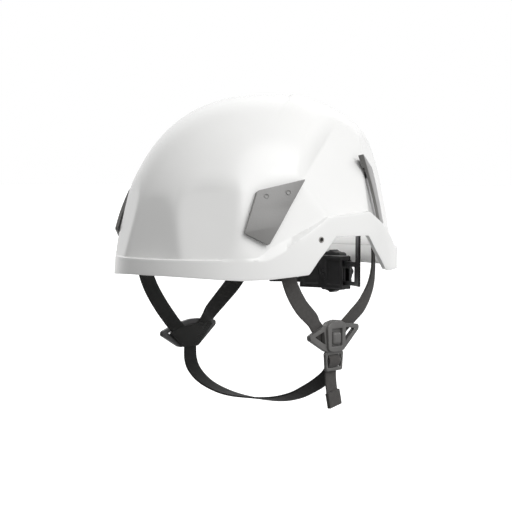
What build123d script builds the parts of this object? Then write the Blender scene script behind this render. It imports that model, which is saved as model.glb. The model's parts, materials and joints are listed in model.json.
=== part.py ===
from build123d import *
import os
from math import cos, degrees, hypot, pi, radians, sin

os.makedirs("parts", exist_ok=True)

# Climbing and work-at-height helmet. +Z up, -Y is the wearer's front, +X is the wearer's left.
# The origin is the centre of the head opening, in the plane of the front rim's edge. Millimetres.

# shell
half_width = 108.6
front_reach = 145.4
rear_reach = 135.6
dome_height = 157.1
roundness = 2.427            # exponent of the dome's upright profile
lean = 0.074                 # the dome leans back by this much for each millimetre up
plan_centre = 11.3
wall = 3.2
band_proud = 1.6             # how far the rim band stands off the facets
skirt = 14.0                 # dome carried on below the rim before the rim is cut
reach = 400.0                # longer than the helmet, for cutters

# side outlines, as (y, z): the rim's lower edge and the band's upper ledge
rim_line = [(-reach, 4.3), (-134, 4.3), (-113, 2), (-98, 0.8), (-79, 1.5), (-46, 4.5), (-36, 16.5),
            (-17, 35), (25, 35), (36, 22), (55, 5), (66, 3), (reach, 3)]
ledge_line = [(-reach, 17.5), (-80, 17.5), (-24, 51), (30, 55), (58, 41), (84, 22), (reach, 20)]

# facets on the wearer's left, each by three of its points; the right side mirrors them
front_facet = [(0, -127.6, 15), (20, -127.0, 24), (0, -121.0, 62)]
brow_facet = [(20, -127.0, 24), (70, -94.5, 37), (45, -107.3, 64)]
clip_facet = [(72, -78.6, 73.3), (89.4, -38.6, 82.3), (83.5, -78, 28.7)]
corner_facet = [(90.4, -37.2, 80.6), (101.3, -25, 50.8), (85.3, -77.1, 15.5)]
side_facet = [(90.2, -36.7, 82.3), (101.3, -25, 50.8), (104.5, 28.7, 54.8)]
rear_facet = [(104.5, 28.7, 54.8), (88.8, 37.5, 105), (76, 85, 45)]
facets = [front_facet, brow_facet, clip_facet, corner_facet, side_facet, rear_facet]

# headlamp clips
clip_thickness = 2.6
clip_block_depth = 16.0
clip_split = 0.32            # share of the clip's height that is its fixed block
flex_slit = 0.008            # share left open between the block and the tab
front_clip_gaps = (3.8, 4.6)     # the outer face's height over the facet, at the top and at the foot
rear_clip_gaps = (3.8, 4.8)
pin_radius = 1.8

# accessory inserts at the sides of the band
insert_radius = 2.6
thread_radius = 1.65         # tapping size of an M4 thread
insert_length = 7.0

# headband and the nape adjuster; their rear is an arc about this upright axis
arc_y = 14.0
band_radius = 86.5
band_front = 112.0           # front half-axis of the headband, from arc_y
band_thickness = 1.8
pad_gap = 0.3                # the forehead pad's clearance from the headband
pad_thickness = 5.7
band_lower = [(-140, 20), (-12, 38.5), (40, 45), (140, 45)]
band_upper = [(140, 67), (40, 68), (-12, 62), (-140, 44)]

module = 1.0                 # of the rack and pinion
pinion_teeth = 10
pitch_radius = module * pinion_teeth / 2
rack_z = -4.0                # height of the pinion's axis
arm_half_height = 11.0
arm_thickness = 2.0
left_arm_radius = 88.0       # inner faces of the two arms
right_arm_radius = 90.5
arm_tip = 15.0               # degrees past the middle
post_inner = 31.0            # the upright post, in degrees from the middle
post_outer = 37.0
post_top = 60.0
housing_inner = 85.2
housing_outer = 95.6
housing_wall = 1.8
housing_angle = 17.0         # half the housing's span, degrees
housing_half_height = 15.2
screw_inset = 2.0            # from the housing's upper and lower edges
screw_radius = 1.1
screw_head_radius = 1.9
shaft_radius = 3.0
shaft_play = 0.06
knob_radius = 20.0
knob_depth = 11.0
knob_lobes = 12
lobe_radius = 3.4
boss_radius = 6.0            # of the cover's boss and of the knob's hub
knob_gap = 0.8               # between the cover and the knob

# webbing
webbing = 16.5
webbing_thickness = 1.4
cradle_width = 18.0
cradle_foot = 70.0
cradle_crown = 127.0
cradle_step = 2.2
hanger_angles = [30, 90, 150]
hanger_margin = 6.0          # how much wider a hanger is than its webbing
hanger_height = 16.0
anchor_block = (30.0, 22.0, 14.0)
anchor_out = 16.8            # from a strap's upper end to the middle of its anchor
anchor_turn = 30.0           # the rear anchors follow the shell round by this angle

# chin harness
side_x = 78.0                # how far out the buckle and the divider hang
buckle_y, buckle_z = 16.0, -52.0
divider_y, divider_z = -1.0, -58.0
plate_thickness = 3.0
buckle_depth = 9.0
case_width, case_height = 27.0, 26.0
button_size = 12.0
tongue_depth = 3.0
tongue_reach = 14.0


def mirrored(shape):
    return mirror(shape, about=Plane.YZ)


def point_along(point, direction, distance):
    return Vector(*point) + Vector(*direction) * distance


def facet_plane(points, offset=0.0):
    a, b, c = (Vector(*p) for p in points)
    normal = (b - a).cross(c - a).normalized()
    if normal.dot(a - Vector(0, arc_y, 0)) < 0:
        normal = normal * -1
    return Plane(origin=a + normal * offset, x_dir=b - a, z_dir=normal)


def beyond(plane):
    """Everything outside a plane, as a block."""
    return plane * Pos(0, 0, reach / 2) * Box(2 * reach, 2 * reach, reach)


def side_prism(points):
    """A side outline of (y, z) points, carried right through the helmet."""
    return extrude(Plane.YZ * make_face(Polyline(*points, close=True)), amount=reach, both=True)


def below(line, offset=0.0):
    low = -reach
    return side_prism([(y, z + offset) for y, z in line] + [(reach, low), (-reach, low)])


def dome(inset):
    """The smooth dome, as a closed solid reaching a little below the rim."""
    width, height = half_width - inset, dome_height - inset
    power = 2 / roundness
    steps = 12
    outline = []
    for i in range(steps + 1):
        turn = pi / 2 * i / steps
        outline.append((width * max(cos(turn), 0) ** power, 0, height * sin(turn) ** power))
    outline[-1] = (0, 0, height)
    crown = Spline(*outline, tangents=((0, 0, 1), (-1, 0, 0)))
    foot = Polyline((0, 0, height), (0, 0, -skirt), (width, 0, -skirt), (width, 0, 0))
    round_dome = revolve(make_face(Curve() + [crown, foot]), Axis.Z)
    front = scale(round_dome & Pos(0, -reach / 2, 0) * Box(reach, reach, reach),
                  by=(1, (front_reach - inset) / width, 1))
    rear = scale(round_dome & Pos(0, reach / 2, 0) * Box(reach, reach, reach),
                 by=(1, (rear_reach - inset) / width, 1))
    leaning = Matrix([[1, 0, 0, 0], [0, 1, lean, plan_centre], [0, 0, 1, 0]])
    return Part((front + rear).transform_geometry(leaning).wrapped)


def faceted_body(inset):
    """The dome with its facets cut and its rim band added, shrunk by the inset."""
    body = dome(inset)
    for points in facets:
        cutter = beyond(facet_plane(points, -inset))
        body = body - cutter - mirrored(cutter)
    band = dome(inset - band_proud) & below(ledge_line, -inset)
    return body + band


def radial_hole(spot, radius, depth, out):
    """A cylinder through a spot, along the outward direction."""
    return Plane(origin=spot, z_dir=out) * Cylinder(radius, depth)


insert_spot = (100.4, -32.2, 33.0)     # the middle of the left insert's length
insert_out = (0.97, -0.243, 0.0)


def clip_frame(plane, points, top_gap, foot_gap):
    """The outer face's plane of a clip, from its corners on the shell's facet."""
    lifted = [Vector(*p) + plane.z_dir * gap for p, gap in
              zip(points, (top_gap, top_gap, foot_gap, foot_gap))]
    top_mid = (lifted[0] + lifted[1]) * 0.5
    foot_mid = (lifted[2] + lifted[3]) * 0.5
    across = (lifted[1] - lifted[0]).normalized()
    normal = across.cross(foot_mid - top_mid).normalized()
    if normal.dot(plane.z_dir) < 0:
        normal = normal * -1
    return Plane(origin=top_mid, x_dir=across, z_dir=normal)


def clip_outline(face, points):
    """The clip's corners in its face's own x and y, top pair first."""
    local = [face.to_local_coords(Vector(*p)) for p in points]
    return [(p.X, p.Y) for p in local]


def share(a, b, part):
    return (a[0] + (b[0] - a[0]) * part, a[1] + (b[1] - a[1]) * part)


def headlamp_clip(facet_points, points, top_gap, foot_gap):
    """Fixed block, flexing tab, its two pins, and the flex line's ends."""
    facet = facet_plane(facet_points)
    points = [Vector(*p) - facet.z_dir * facet.to_local_coords(Vector(*p)).Z for p in points]
    face = clip_frame(facet, points, top_gap, foot_gap)
    a, b, c, d = clip_outline(face, points)
    split_front, split_rear = share(a, d, clip_split), share(b, c, clip_split)
    low_front, low_rear = share(a, d, clip_split + flex_slit), share(b, c, clip_split + flex_slit)
    block = extrude(face * make_face(Polyline(a, b, split_rear, split_front, close=True)),
                    amount=-clip_block_depth)
    block = block - Part(mirror(beyond(facet), about=facet).wrapped)
    tab = extrude(face * make_face(Polyline(low_front, low_rear, c, d, close=True)),
                  amount=-clip_thickness)
    pins = []
    for part in (0.25, 0.75):
        x, y = share(share(a, b, part), share(d, c, part), clip_split / 2)
        plane = Plane(origin=face.from_local_coords(Vector(x, y, 0)), z_dir=facet.z_dir)
        pins.append(plane * Pos(0, 0, -top_gap / 2 - wall) * Cylinder(pin_radius, top_gap + 2 * wall))
    ends = [face.from_local_coords(Vector(x, y, 0)) for x, y in (split_front, split_rear)]
    return block, tab, pins, ends


front_clip_points = [(72, -78.6, 73.3), (89.4, -38.6, 82.3), (83.5, -78, 28.7), (70.3, -94.1, 38.6)]
rear_clip_points = [(89.6, 36.5, 104), (76, 66, 92), (81.5, 76, 42.5), (90.7, 58.5, 43.5)]


def shell(pin_cutters):
    body = faceted_body(0) - faceted_body(wall)
    body = body - below(rim_line)
    for pin in pin_cutters:
        body = body - pin
    cutter = radial_hole(insert_spot, insert_radius, 3 * insert_length, insert_out)
    return body - cutter - mirrored(cutter)


def accessory_insert():
    body = radial_hole(insert_spot, insert_radius, insert_length, insert_out)
    return body - radial_hole(insert_spot, thread_radius, 2 * insert_length, insert_out)


def band_plan(offset):
    """The headband's plan: a round rear and a longer oval front."""
    radius, front = band_radius + offset, band_front + offset
    rear_arc = CenterArc((0, arc_y), radius, 0, 180)
    front_arc = Pos(0, arc_y) * EllipticalCenterArc((0, 0), radius, front, start_angle=180, arc_size=180)
    return make_face(Curve() + [rear_arc, front_arc])


def oval_wall(outer, inner):
    return extrude(band_plan(outer) - band_plan(inner), amount=reach / 2)


def headband():
    return oval_wall(0, -band_thickness) & side_prism(band_lower + band_upper)


def forehead_pad():
    outer = -band_thickness - pad_gap
    pad = oval_wall(outer, outer - pad_thickness) & side_prism(band_lower + band_upper)
    return pad & Pos(0, -reach / 2 - 40, 0) * Box(reach, reach, reach)


def cradle_reach(angle):
    """Distance from the crown's axis to a webbing's foot, outside the headband."""
    if angle > 90:
        return band_radius + 3.4
    turn = radians(angle)
    return 1 / hypot(sin(turn) / band_radius, cos(turn) / band_front) + 3.4


def arch_points(foot_reach, crown, steps=8):
    power = 2 / 2.3
    points = []
    for i in range(steps + 1):
        turn = pi / 2 * i / steps
        points.append((foot_reach * max(cos(turn), 0) ** power,
                       cradle_foot + (crown - cradle_foot) * sin(turn) ** power))
    points[-1] = (0, crown)
    return points


def arch_face(first_reach, second_reach, crown):
    first = arch_points(first_reach, crown)
    second = [(-x, z) for x, z in arch_points(second_reach, crown)]
    over = Spline(*first, tangents=((0, 1), (-1, 0)))
    back = Spline(*reversed(second), tangents=((-1, 0), (0, -1)))
    return make_face(Curve() + [over, back, Line(second[0], first[0])])


def cradle_strap(index):
    angle = hanger_angles[index]
    opposite = 180 - angle
    crown = cradle_crown + index * cradle_step
    near, far = cradle_reach(angle), cradle_reach(opposite)
    thick = webbing_thickness
    face = arch_face(near, far, crown) - arch_face(near - thick, far - thick, crown - thick)
    strap = extrude(Plane.XZ * face, amount=cradle_width / 2, both=True)
    lower = Pos(0, 0, cradle_foot - 0.2) * Box(reach, reach, 0.4)
    return Pos(0, arc_y, 0) * Rot(0, 0, angle - 90) * (strap - lower)


def hanger(angle, side):
    """A plastic hanger between the shell's wall and the headband."""
    block = Pos(0, 0, cradle_foot) * Box(2 * reach, cradle_width + hanger_margin, hanger_height)
    start = cradle_reach(angle)
    keep = Pos(start + 3 + reach / 2, 0, cradle_foot) * Box(reach, reach, reach)
    slot = Pos(start - 0.9, 0, cradle_foot + 4) * Box(2.6, cradle_width + 0.8, 12)
    foot = Pos(start + 1, 0, cradle_foot - 5) * Box(8, cradle_width + hanger_margin, 6)
    half_turn = Rot(0, 0, 0 if side > 0 else 180)
    piece = half_turn * ((block & keep) + (foot & block) - slot)
    piece = Pos(0, arc_y, 0) * Rot(0, 0, side * (angle - 90)) * piece
    return (piece - oval_wall(0.1, -band_thickness - 0.1)) & cavity


def ring_sector(inner, outer, start, stop, low, high):
    """A curved plate about the nape's upright axis; angles in degrees from the rear, + to the left."""
    wedge = Polyline((0, 0), *[(2 * outer * sin(radians(a)), 2 * outer * cos(radians(a)))
                               for a in (start, (start + stop) / 2, stop)], close=True)
    face = (Circle(outer) - Circle(inner)) & make_face(wedge)
    return Pos(0, arc_y, low) * extrude(face, amount=high - low)


def rack_tooth(radius, angle, tip_z, root_z):
    """One straight-sided rack tooth on an arm, pointing at the pinion."""
    half_tip, half_root = 0.30 * module, 0.95 * module
    over = 0.4 if root_z > tip_z else -0.4
    face = make_face(Polyline((-half_tip, tip_z), (half_tip, tip_z), (half_root, root_z + over),
                              (-half_root, root_z + over), close=True))
    plane = Plane(origin=(radius * sin(radians(angle)), arc_y + radius * cos(radians(angle)), 0),
                  x_dir=(cos(radians(angle)), -sin(radians(angle)), 0),
                  z_dir=(-sin(radians(angle)), -cos(radians(angle)), 0))
    return extrude(plane * face, amount=-arm_thickness)


def nape_arm(inner, side):
    """A slotted rack arm with the upright post that carries it; side is +1 for the left arm."""
    outer = inner + arm_thickness
    low, high = rack_z - arm_half_height, rack_z + arm_half_height
    strap = ring_sector(inner, outer, -arm_tip, post_outer, low, high)
    post = ring_sector(inner, outer, post_inner, post_outer, low, post_top)
    clear = pitch_radius + 2.3 * module
    tip, root = pitch_radius - 0.75 * module, pitch_radius + 1.3 * module
    slot_low, slot_high = (-clear, root) if side > 0 else (-root, clear)
    slot = ring_sector(inner - 1, outer + 1, -arm_tip + 3, post_inner - 1.5,
                       rack_z + slot_low, rack_z + slot_high)
    arm = strap + post - slot
    pitch_angle = degrees(pi * module / (inner + arm_thickness / 2))
    for i in range(-3, 11):
        arm = arm + rack_tooth(inner, (i + 0.5) * pitch_angle, rack_z + side * tip, rack_z + side * root)
    return arm if side > 0 else mirrored(arm)


def pinion():
    """The pinion with its shaft; a tooth points straight up so that it meets both racks' gaps."""
    start = arc_y + left_arm_radius - 0.4
    face_width = right_arm_radius + arm_thickness + 0.4 - left_arm_radius + 0.4
    plane = Plane(origin=(0, start, rack_z), x_dir=(1, 0, 0), z_dir=(0, 1, 0))
    gear = Circle(pitch_radius - 1.15 * module)
    half_root, half_tip = 0.72 * module, 0.30 * module
    root, tip = pitch_radius - 1.4 * module, pitch_radius + 0.85 * module
    tooth = make_face(Polyline((-half_root, root), (half_root, root), (half_tip, tip), (-half_tip, tip),
                               close=True))
    for i in range(pinion_teeth):
        gear = gear + Rot(0, 0, 360 / pinion_teeth * i) * tooth
    body = extrude(plane * gear, amount=face_width)
    nose = plane * Pos(0, 0, -1) * Cylinder(2.0, 2.6)
    shaft_end = arc_y + housing_outer + 7
    shaft = Plane(origin=(0, (start + shaft_end) / 2, rack_z), x_dir=(1, 0, 0), z_dir=(0, 1, 0))
    return body + nose + shaft * Cylinder(shaft_radius, shaft_end - start)


def adjuster_housing():
    """The half that faces the head: a curved tray with a pocket each side of its middle rib."""
    low, high = rack_z - housing_half_height, rack_z + housing_half_height
    span, thin = housing_angle, housing_wall
    floor_outer = left_arm_radius - 0.6
    tray = ring_sector(housing_inner, housing_outer - thin, -span, span, low, high)
    channel_half = arm_half_height + 0.4
    channel = ring_sector(floor_outer, housing_outer, -span - 5, span + 5,
                          rack_z - channel_half, rack_z + channel_half)
    tray = tray - channel
    for side in (-1, 1):
        start, stop = sorted((side * 3.5, side * (span - 2)))
        tray = tray - ring_sector(housing_inner - 2, housing_inner + 1.0, start, stop, low + 4, high - 4)
    bush = Plane(origin=(0, arc_y + housing_inner, rack_z), x_dir=(1, 0, 0), z_dir=(0, 1, 0))
    return tray - bush * Cylinder(2.0 + shaft_play, 12) - screws


def adjuster_cover():
    """The outer half, with the boss that the knob turns on."""
    low, high = rack_z - housing_half_height, rack_z + housing_half_height
    inner = housing_outer - housing_wall
    cover = ring_sector(inner, housing_outer, -housing_angle, housing_angle, low, high)
    axis = Plane(origin=(0, arc_y + housing_outer, rack_z), x_dir=(1, 0, 0), z_dir=(0, 1, 0))
    boss = axis * Pos(0, 0, 0.4) * Cylinder(boss_radius, 4.0)
    return cover + boss - axis * Cylinder(shaft_radius + shaft_play, 20) - screws


def knob():
    """A lobed wheel that hides the boss and the click spring."""
    start = arc_y + housing_outer + knob_gap
    axis = Plane(origin=(0, start, rack_z), x_dir=(1, 0, 0), z_dir=(0, 1, 0))
    wheel = Circle(knob_radius - 1.2)
    lobe = Pos(knob_radius - lobe_radius, 0) * Circle(lobe_radius)
    for i in range(knob_lobes):
        wheel = wheel + Rot(0, 0, 360 / knob_lobes * i) * lobe
    body = extrude(axis * wheel, amount=knob_depth)
    body = chamfer(body.faces().sort_by(Axis.Y)[-1].edges(), 1.0)
    body = body - extrude(axis * Circle(knob_radius - 5), amount=5)
    body = body + extrude(axis * Circle(boss_radius), amount=6)
    body = body - extrude(axis * Circle(boss_radius + 0.4), amount=2.2)
    return body - extrude(axis * Circle(shaft_radius), amount=6.2)


def click_spring():
    """A leaf that clicks over the knob's inner ring, riveted to the cover."""
    axis = Plane(origin=(0, arc_y + housing_outer + 1.2, rack_z), x_dir=(1, 0, 0), z_dir=(0, 1, 0))
    leaf = (Circle(knob_radius - 6) - Circle(knob_radius - 7)) & make_face(
        Polyline((0, 0), (40, -12), (40, 12), close=True))
    return extrude(axis * leaf, amount=3)


def housing_screws():
    """Four screws that hold the cover to the housing."""
    screws = []
    for angle in (-housing_angle + 2.5, housing_angle - 2.5):
        for height in (screw_inset - housing_half_height, housing_half_height - screw_inset):
            out = (sin(radians(angle)), cos(radians(angle)), 0)
            spot = point_along((0, arc_y, rack_z + height), out, housing_outer - 3)
            head = point_along((0, arc_y, rack_z + height), out, housing_outer - 0.2)
            screws.append(Plane(origin=spot, z_dir=out) * Cylinder(screw_radius, 8))
            screws.append(Plane(origin=head, z_dir=out) * Cylinder(screw_head_radius, 1.4))
    return screws[0] + screws[1], screws[2] + screws[3], screws[4] + screws[5], screws[6] + screws[7]


def ribbon(points, widths, thickness=webbing_thickness):
    """Flat webbing through the points; widths are its width's direction at each point."""
    sections = []
    for i, (point, width) in enumerate(zip(points, widths)):
        before, after = points[max(i - 1, 0)], points[min(i + 1, len(points) - 1)]
        along = (Vector(*after) - Vector(*before)).normalized()
        across = Vector(*width)
        across = (across - along * across.dot(along)).normalized()
        plane = Plane(origin=point, x_dir=across, z_dir=along)
        sections.append(plane * Rectangle(webbing, thickness))
    return loft(sections, ruled=True)


def bar_frame(outline, holes, depth, x):
    """A flat moulded plate standing at x, from (y, z) outlines, rounded at its corners."""
    face = make_face(Polyline(*outline, close=True))
    face = fillet(face.vertices(), 2.2)
    for hole in holes:
        cut = make_face(Polyline(*hole, close=True))
        face = face - fillet(cut.vertices(), 1.0)
    return extrude(Plane.YZ.offset(x - depth / 2) * face, amount=depth)


def placed(outline, y, z):
    return [(a + y, b + z) for a, b in outline]


buckle_outline = [(-34, 2), (-12, 9), (-8, 13), (8, 13), (12, 11), (33, 8), (13, -13), (-13, -13)]
buckle_front_hole = [(-28, 0.5), (-15.5, 4.5), (-15.5, -7)]
buckle_rear_hole = [(15.5, 6.5), (27.5, 5), (15.5, -5.5)]
divider_outline = [(-35, 3), (-12, 9), (2, 12), (14, 12), (36, 9), (11, -14), (-14, -14)]
divider_front_hole = [(-28, 1.5), (-9, 6), (-9, -5.5)]
divider_rear_hole = [(8, 7.5), (28, 6), (8, -4)]
divider_foot_hole = [(-11, -7.5), (8.5, -7.5), (8.5, -11), (-11, -11)]
button_dz = -2.0
prong = 3.0
fork = 12.8
loop_half = 12.5


def buckle_body():
    body = bar_frame(placed(buckle_outline, buckle_y, buckle_z),
                     [placed(buckle_front_hole, buckle_y, buckle_z),
                      placed(buckle_rear_hole, buckle_y, buckle_z)], plate_thickness, side_x)
    case = Pos(side_x, buckle_y, buckle_z) * Box(buckle_depth, case_width, case_height)
    case = fillet(case.edges().filter_by(Axis.X), 4)
    case = chamfer(case.faces().sort_by(Axis.X)[-1].edges(), 1.2)
    channel_width = fork + 2 * prong + 0.8
    channel = Pos(side_x, buckle_y, buckle_z - 13 + tongue_reach / 2) * Box(
        tongue_depth + 0.8, channel_width, tongue_reach + 1.2)
    pocket = Pos(side_x + 1, buckle_y, buckle_z + button_dz) * Box(
        buckle_depth, button_size + 0.6, button_size + 0.6)
    return body + case - channel - pocket


def buckle_button():
    depth = 5.4
    face_x = side_x + buckle_depth / 2 + 0.5
    body = Pos(face_x - depth / 2, buckle_y, buckle_z + button_dz) * Box(depth, button_size, button_size)
    body = fillet(body.edges().filter_by(Axis.X), 2.5)
    return fillet(body.faces().sort_by(Axis.X)[-1].edges(), 0.8)


def button_spring():
    """A folded leaf behind the button."""
    back = side_x - buckle_depth / 2 + 1.05
    front = side_x + buckle_depth / 2 + 0.5 - 5.4 - 0.05
    z = buckle_z + button_dz
    outline = [(back, z - 4), (back, z + 4), (front, z + 4), (front, z - 1), (front - 0.4, z - 1),
               (front - 0.4, z + 3.6), (back + 0.4, z + 3.6), (back + 0.4, z - 4)]
    face = Plane.XZ * make_face(Polyline(*outline, close=True))
    return Pos(0, buckle_y + 3, 0) * extrude(face, amount=6)


def buckle_tongue():
    top = buckle_z - 13 - 0.4
    foot = top - 17
    frame = [(-loop_half, top), (loop_half, top), (loop_half - 1.5, foot), (-loop_half + 1.5, foot)]
    upper = [(-9, top - 3), (9, top - 3), (9, top - 7), (-9, top - 7)]
    lower = [(-9, top - 9.6), (9, top - 9.6), (9, foot + 3), (-9, foot + 3)]
    windows = [placed(upper, buckle_y, 0), placed(lower, buckle_y, 0)]
    body = bar_frame(placed(frame, buckle_y, 0), windows, plate_thickness, side_x)
    for side in (-1, 1):
        middle = buckle_y + side * (fork / 2 + prong / 2)
        arm = Box(tongue_depth, prong, tongue_reach)
        body = body + Pos(side_x, middle, top + tongue_reach / 2 - 1) * arm
        body = body + Pos(side_x, middle + side * 0.2, top + tongue_reach - 3.5) * Box(
            tongue_depth, prong - 0.2, 3)
    return body


def divider():
    holes = [placed(hole, divider_y, divider_z)
             for hole in (divider_front_hole, divider_rear_hole, divider_foot_hole)]
    return bar_frame(placed(divider_outline, divider_y, divider_z), holes, plate_thickness, -side_x)


chin_line = [(75.2, -73), (74.6, -79), (67.5, -88), (57, -97), (41, -106), (18, -112.5), (-16, -114),
             (-48, -109.5), (-66, -100), (-75.2, -88), (-75.6, -71.5)]
chin_y = [16, 16, 15.5, 15, 14.5, 14, 12, 7, 3, -0.5, -1.5]


def chin_strap():
    points = [(x, y, z) for (x, z), y in zip(chin_line, chin_y)]
    return ribbon(points, [(0, 1, 0)] * len(points))


def strap_tail():
    x = side_x + 2.6
    points = [(x, 14.5, -72.5), (x, 14.5, -83), (x - 0.5, 14.8, -92), (x - 1, 15.8, -100)]
    return ribbon(points, [(0, 1, 0)] * 4)


def tail_fold():
    """The tail's end, folded back and sewn."""
    x = side_x + 1.6
    points = [(x, 15.9, -100.3), (x, 17, -107), (x, 18.4, -114.5)]
    return ribbon(points, [(0, 1, 0)] * 3, 2.6 * webbing_thickness)


strap_routes = {
    "left_front_strap": ([(82.5, -52, 24), (82.5, -50.5, 0), (81, -33, -23), (78, -8, -41.5)],
                         [(0, 1, 0), (0, 0.9, 0.3), (0, 0.85, 0.5), (0, 0.85, 0.52)]),
    "left_rear_strap": ([(71, 80, 46), (73, 79.5, 8), (76, 71, -13), (77.6, 56, -29), (78, 43.5, -37.5)],
                        [(-0.5, 0.86, 0), (-0.45, 0.9, 0), (-0.3, 0.9, -0.3), (-0.1, 0.75, -0.65),
                         (0, 0.73, -0.68)]),
    "right_front_strap": ([(-82, -54, 24), (-82, -53, 0), (-80.5, -44, -20), (-78, -24, -46.5)],
                          [(0, 1, 0), (0, 0.95, 0.2), (0, 0.87, 0.45), (0, 0.87, 0.49)]),
    "right_rear_strap": ([(-71, 79, 46), (-73, 76, 8), (-76, 62, -15), (-77.4, 45, -29),
                          (-78, 28, -41.5)],
                         [(0.5, 0.86, 0), (0.4, 0.9, 0), (0.25, 0.8, -0.5), (0.1, 0.7, -0.7),
                          (0, 0.63, -0.77)]),
}


def strap_anchor(strap):
    """A plastic block that holds a strap's upper end against the shell's wall."""
    (x, y, z) = strap_routes[strap][0][0]
    side = 1 if x > 0 else -1
    turn = side * anchor_turn if y > 0 else 0
    block = Pos(x, y, 0) * Rot(0, 0, turn) * Pos(side * anchor_out, 0, z - 6) * Box(*anchor_block)
    return block & cavity


cavity = faceted_body(wall + 0.2)
front_clip = headlamp_clip(clip_facet, front_clip_points, *front_clip_gaps)
rear_clip = headlamp_clip(rear_facet, rear_clip_points, *rear_clip_gaps)

nodes = {}
pins = []
for name, clip in (("front", front_clip), ("rear", rear_clip)):
    block, tab, clip_pins, ends = clip
    for side, turn in (("left", lambda s: s), ("right", mirrored)):
        holes = [turn(pin) for pin in clip_pins]
        nodes[name + "_" + side + "_clip"] = turn(block) - holes[0] - holes[1]
        nodes[name + "_" + side + "_clip_tab"] = turn(tab)
        pins += holes
    print(name, "clip flex line", ends)

nodes["shell"] = shell(pins)
nodes["clip_pins"] = Compound(children=[Part(pin.wrapped) for pin in pins])
insert = accessory_insert()
nodes["accessory_inserts"] = Compound(children=[insert, mirrored(insert)])
nodes["headband"] = headband()
nodes["forehead_pad"] = forehead_pad()
for i in range(3):
    nodes["cradle_strap_" + str(i + 1)] = cradle_strap(i)
nodes["hangers"] = Compound(children=[hanger(a, s) for a in hanger_angles for s in (1, -1)])
nodes["left_nape_arm"] = nape_arm(left_arm_radius, 1)
nodes["right_nape_arm"] = nape_arm(right_arm_radius, -1)
nodes["adjuster_pinion"] = pinion()
screws = Compound(children=list(housing_screws()))
nodes["housing_screws"] = screws
nodes["adjuster_housing"] = adjuster_housing()
nodes["adjuster_cover"] = adjuster_cover()
nodes["adjuster_knob"] = knob()
nodes["click_spring"] = click_spring()
for name, (points, widths) in strap_routes.items():
    nodes[name] = ribbon(points, widths)
nodes["strap_anchors"] = Compound(children=[strap_anchor(name) for name in strap_routes])
nodes["buckle_body"] = buckle_body()
nodes["buckle_button"] = buckle_button()
nodes["button_spring"] = button_spring()
nodes["buckle_tongue"] = buckle_tongue()
nodes["strap_divider"] = divider()
nodes["chin_strap"] = chin_strap()
nodes["strap_tail"] = strap_tail()
nodes["tail_fold"] = tail_fold()

for name, shape in nodes.items():
    export_step(shape, "parts/" + name + ".step")
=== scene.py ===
import json
import math
import bpy
import numpy as np
from mathutils import Matrix, Vector


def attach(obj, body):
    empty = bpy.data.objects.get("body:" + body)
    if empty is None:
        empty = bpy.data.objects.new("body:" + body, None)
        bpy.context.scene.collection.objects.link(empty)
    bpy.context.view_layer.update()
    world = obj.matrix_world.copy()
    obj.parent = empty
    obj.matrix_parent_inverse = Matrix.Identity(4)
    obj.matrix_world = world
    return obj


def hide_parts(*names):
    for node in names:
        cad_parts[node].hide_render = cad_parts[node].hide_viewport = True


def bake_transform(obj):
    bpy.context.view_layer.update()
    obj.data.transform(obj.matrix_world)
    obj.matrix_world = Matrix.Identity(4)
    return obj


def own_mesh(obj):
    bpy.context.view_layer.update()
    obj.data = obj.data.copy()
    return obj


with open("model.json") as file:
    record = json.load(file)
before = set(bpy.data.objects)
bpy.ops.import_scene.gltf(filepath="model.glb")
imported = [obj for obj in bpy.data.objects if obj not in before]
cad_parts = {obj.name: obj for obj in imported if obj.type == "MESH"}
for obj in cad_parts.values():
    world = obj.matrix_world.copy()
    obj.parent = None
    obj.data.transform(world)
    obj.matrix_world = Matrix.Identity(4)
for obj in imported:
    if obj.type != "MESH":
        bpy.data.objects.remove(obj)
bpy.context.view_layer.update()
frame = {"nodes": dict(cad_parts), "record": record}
print("frame loaded")

nodes = frame["nodes"]
mm = 0.001


def deselectAll():
    if bpy.context.object and bpy.context.object.mode != "OBJECT":
        bpy.ops.object.mode_set(mode="OBJECT")
    bpy.ops.object.select_all(action="DESELECT")


def pick(piece):
    deselectAll()
    piece.select_set(True)
    bpy.context.view_layer.objects.active = piece


def addModifier(piece, kind, **values):
    pick(piece)
    modifier = piece.modifiers.new(kind.title(), kind)
    for key, value in values.items():
        setattr(modifier, key, value)
    bpy.ops.object.modifier_apply(modifier=modifier.name)


def smooth(piece, degreesLimit=35):
    pick(piece)
    bpy.ops.object.shade_smooth_by_angle(angle=math.radians(degreesLimit))


def tidyNormals(piece, nearest=0.00002):
    pick(piece)
    bpy.ops.object.mode_set(mode="EDIT")
    bpy.ops.mesh.select_all(action="SELECT")
    bpy.ops.mesh.remove_doubles(threshold=nearest)
    bpy.ops.mesh.normals_make_consistent(inside=False)
    bpy.ops.object.mode_set(mode="OBJECT")


def coat(piece, material):
    piece.data.materials.clear()
    piece.data.materials.append(material)


def give(piece, material, body):
    coat(piece, material)
    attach(piece, body)
    return piece


view = {"turn": 41.0, "rise": 3.7, "distance": 1.4, "lens": 111.2, "across": 0.00586, "upward": 0.0322}


def addCamera():
    turn, rise = math.radians(view["turn"]), math.radians(view["rise"])
    back = Vector((math.sin(turn) * math.cos(rise), -math.cos(turn) * math.cos(rise), math.sin(rise)))
    right = Vector((math.cos(turn), math.sin(turn), 0))
    up = back.cross(right)
    bpy.ops.object.camera_add()
    camera = bpy.context.object
    camera.matrix_world = Matrix((right, up, back)).transposed().to_4x4()
    camera.location = back * view["distance"]
    camera.data.lens = view["lens"]
    camera.data.sensor_width = 36
    camera.data.shift_x = view["across"]
    camera.data.shift_y = view["upward"]
    bpy.context.scene.camera = camera


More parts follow.
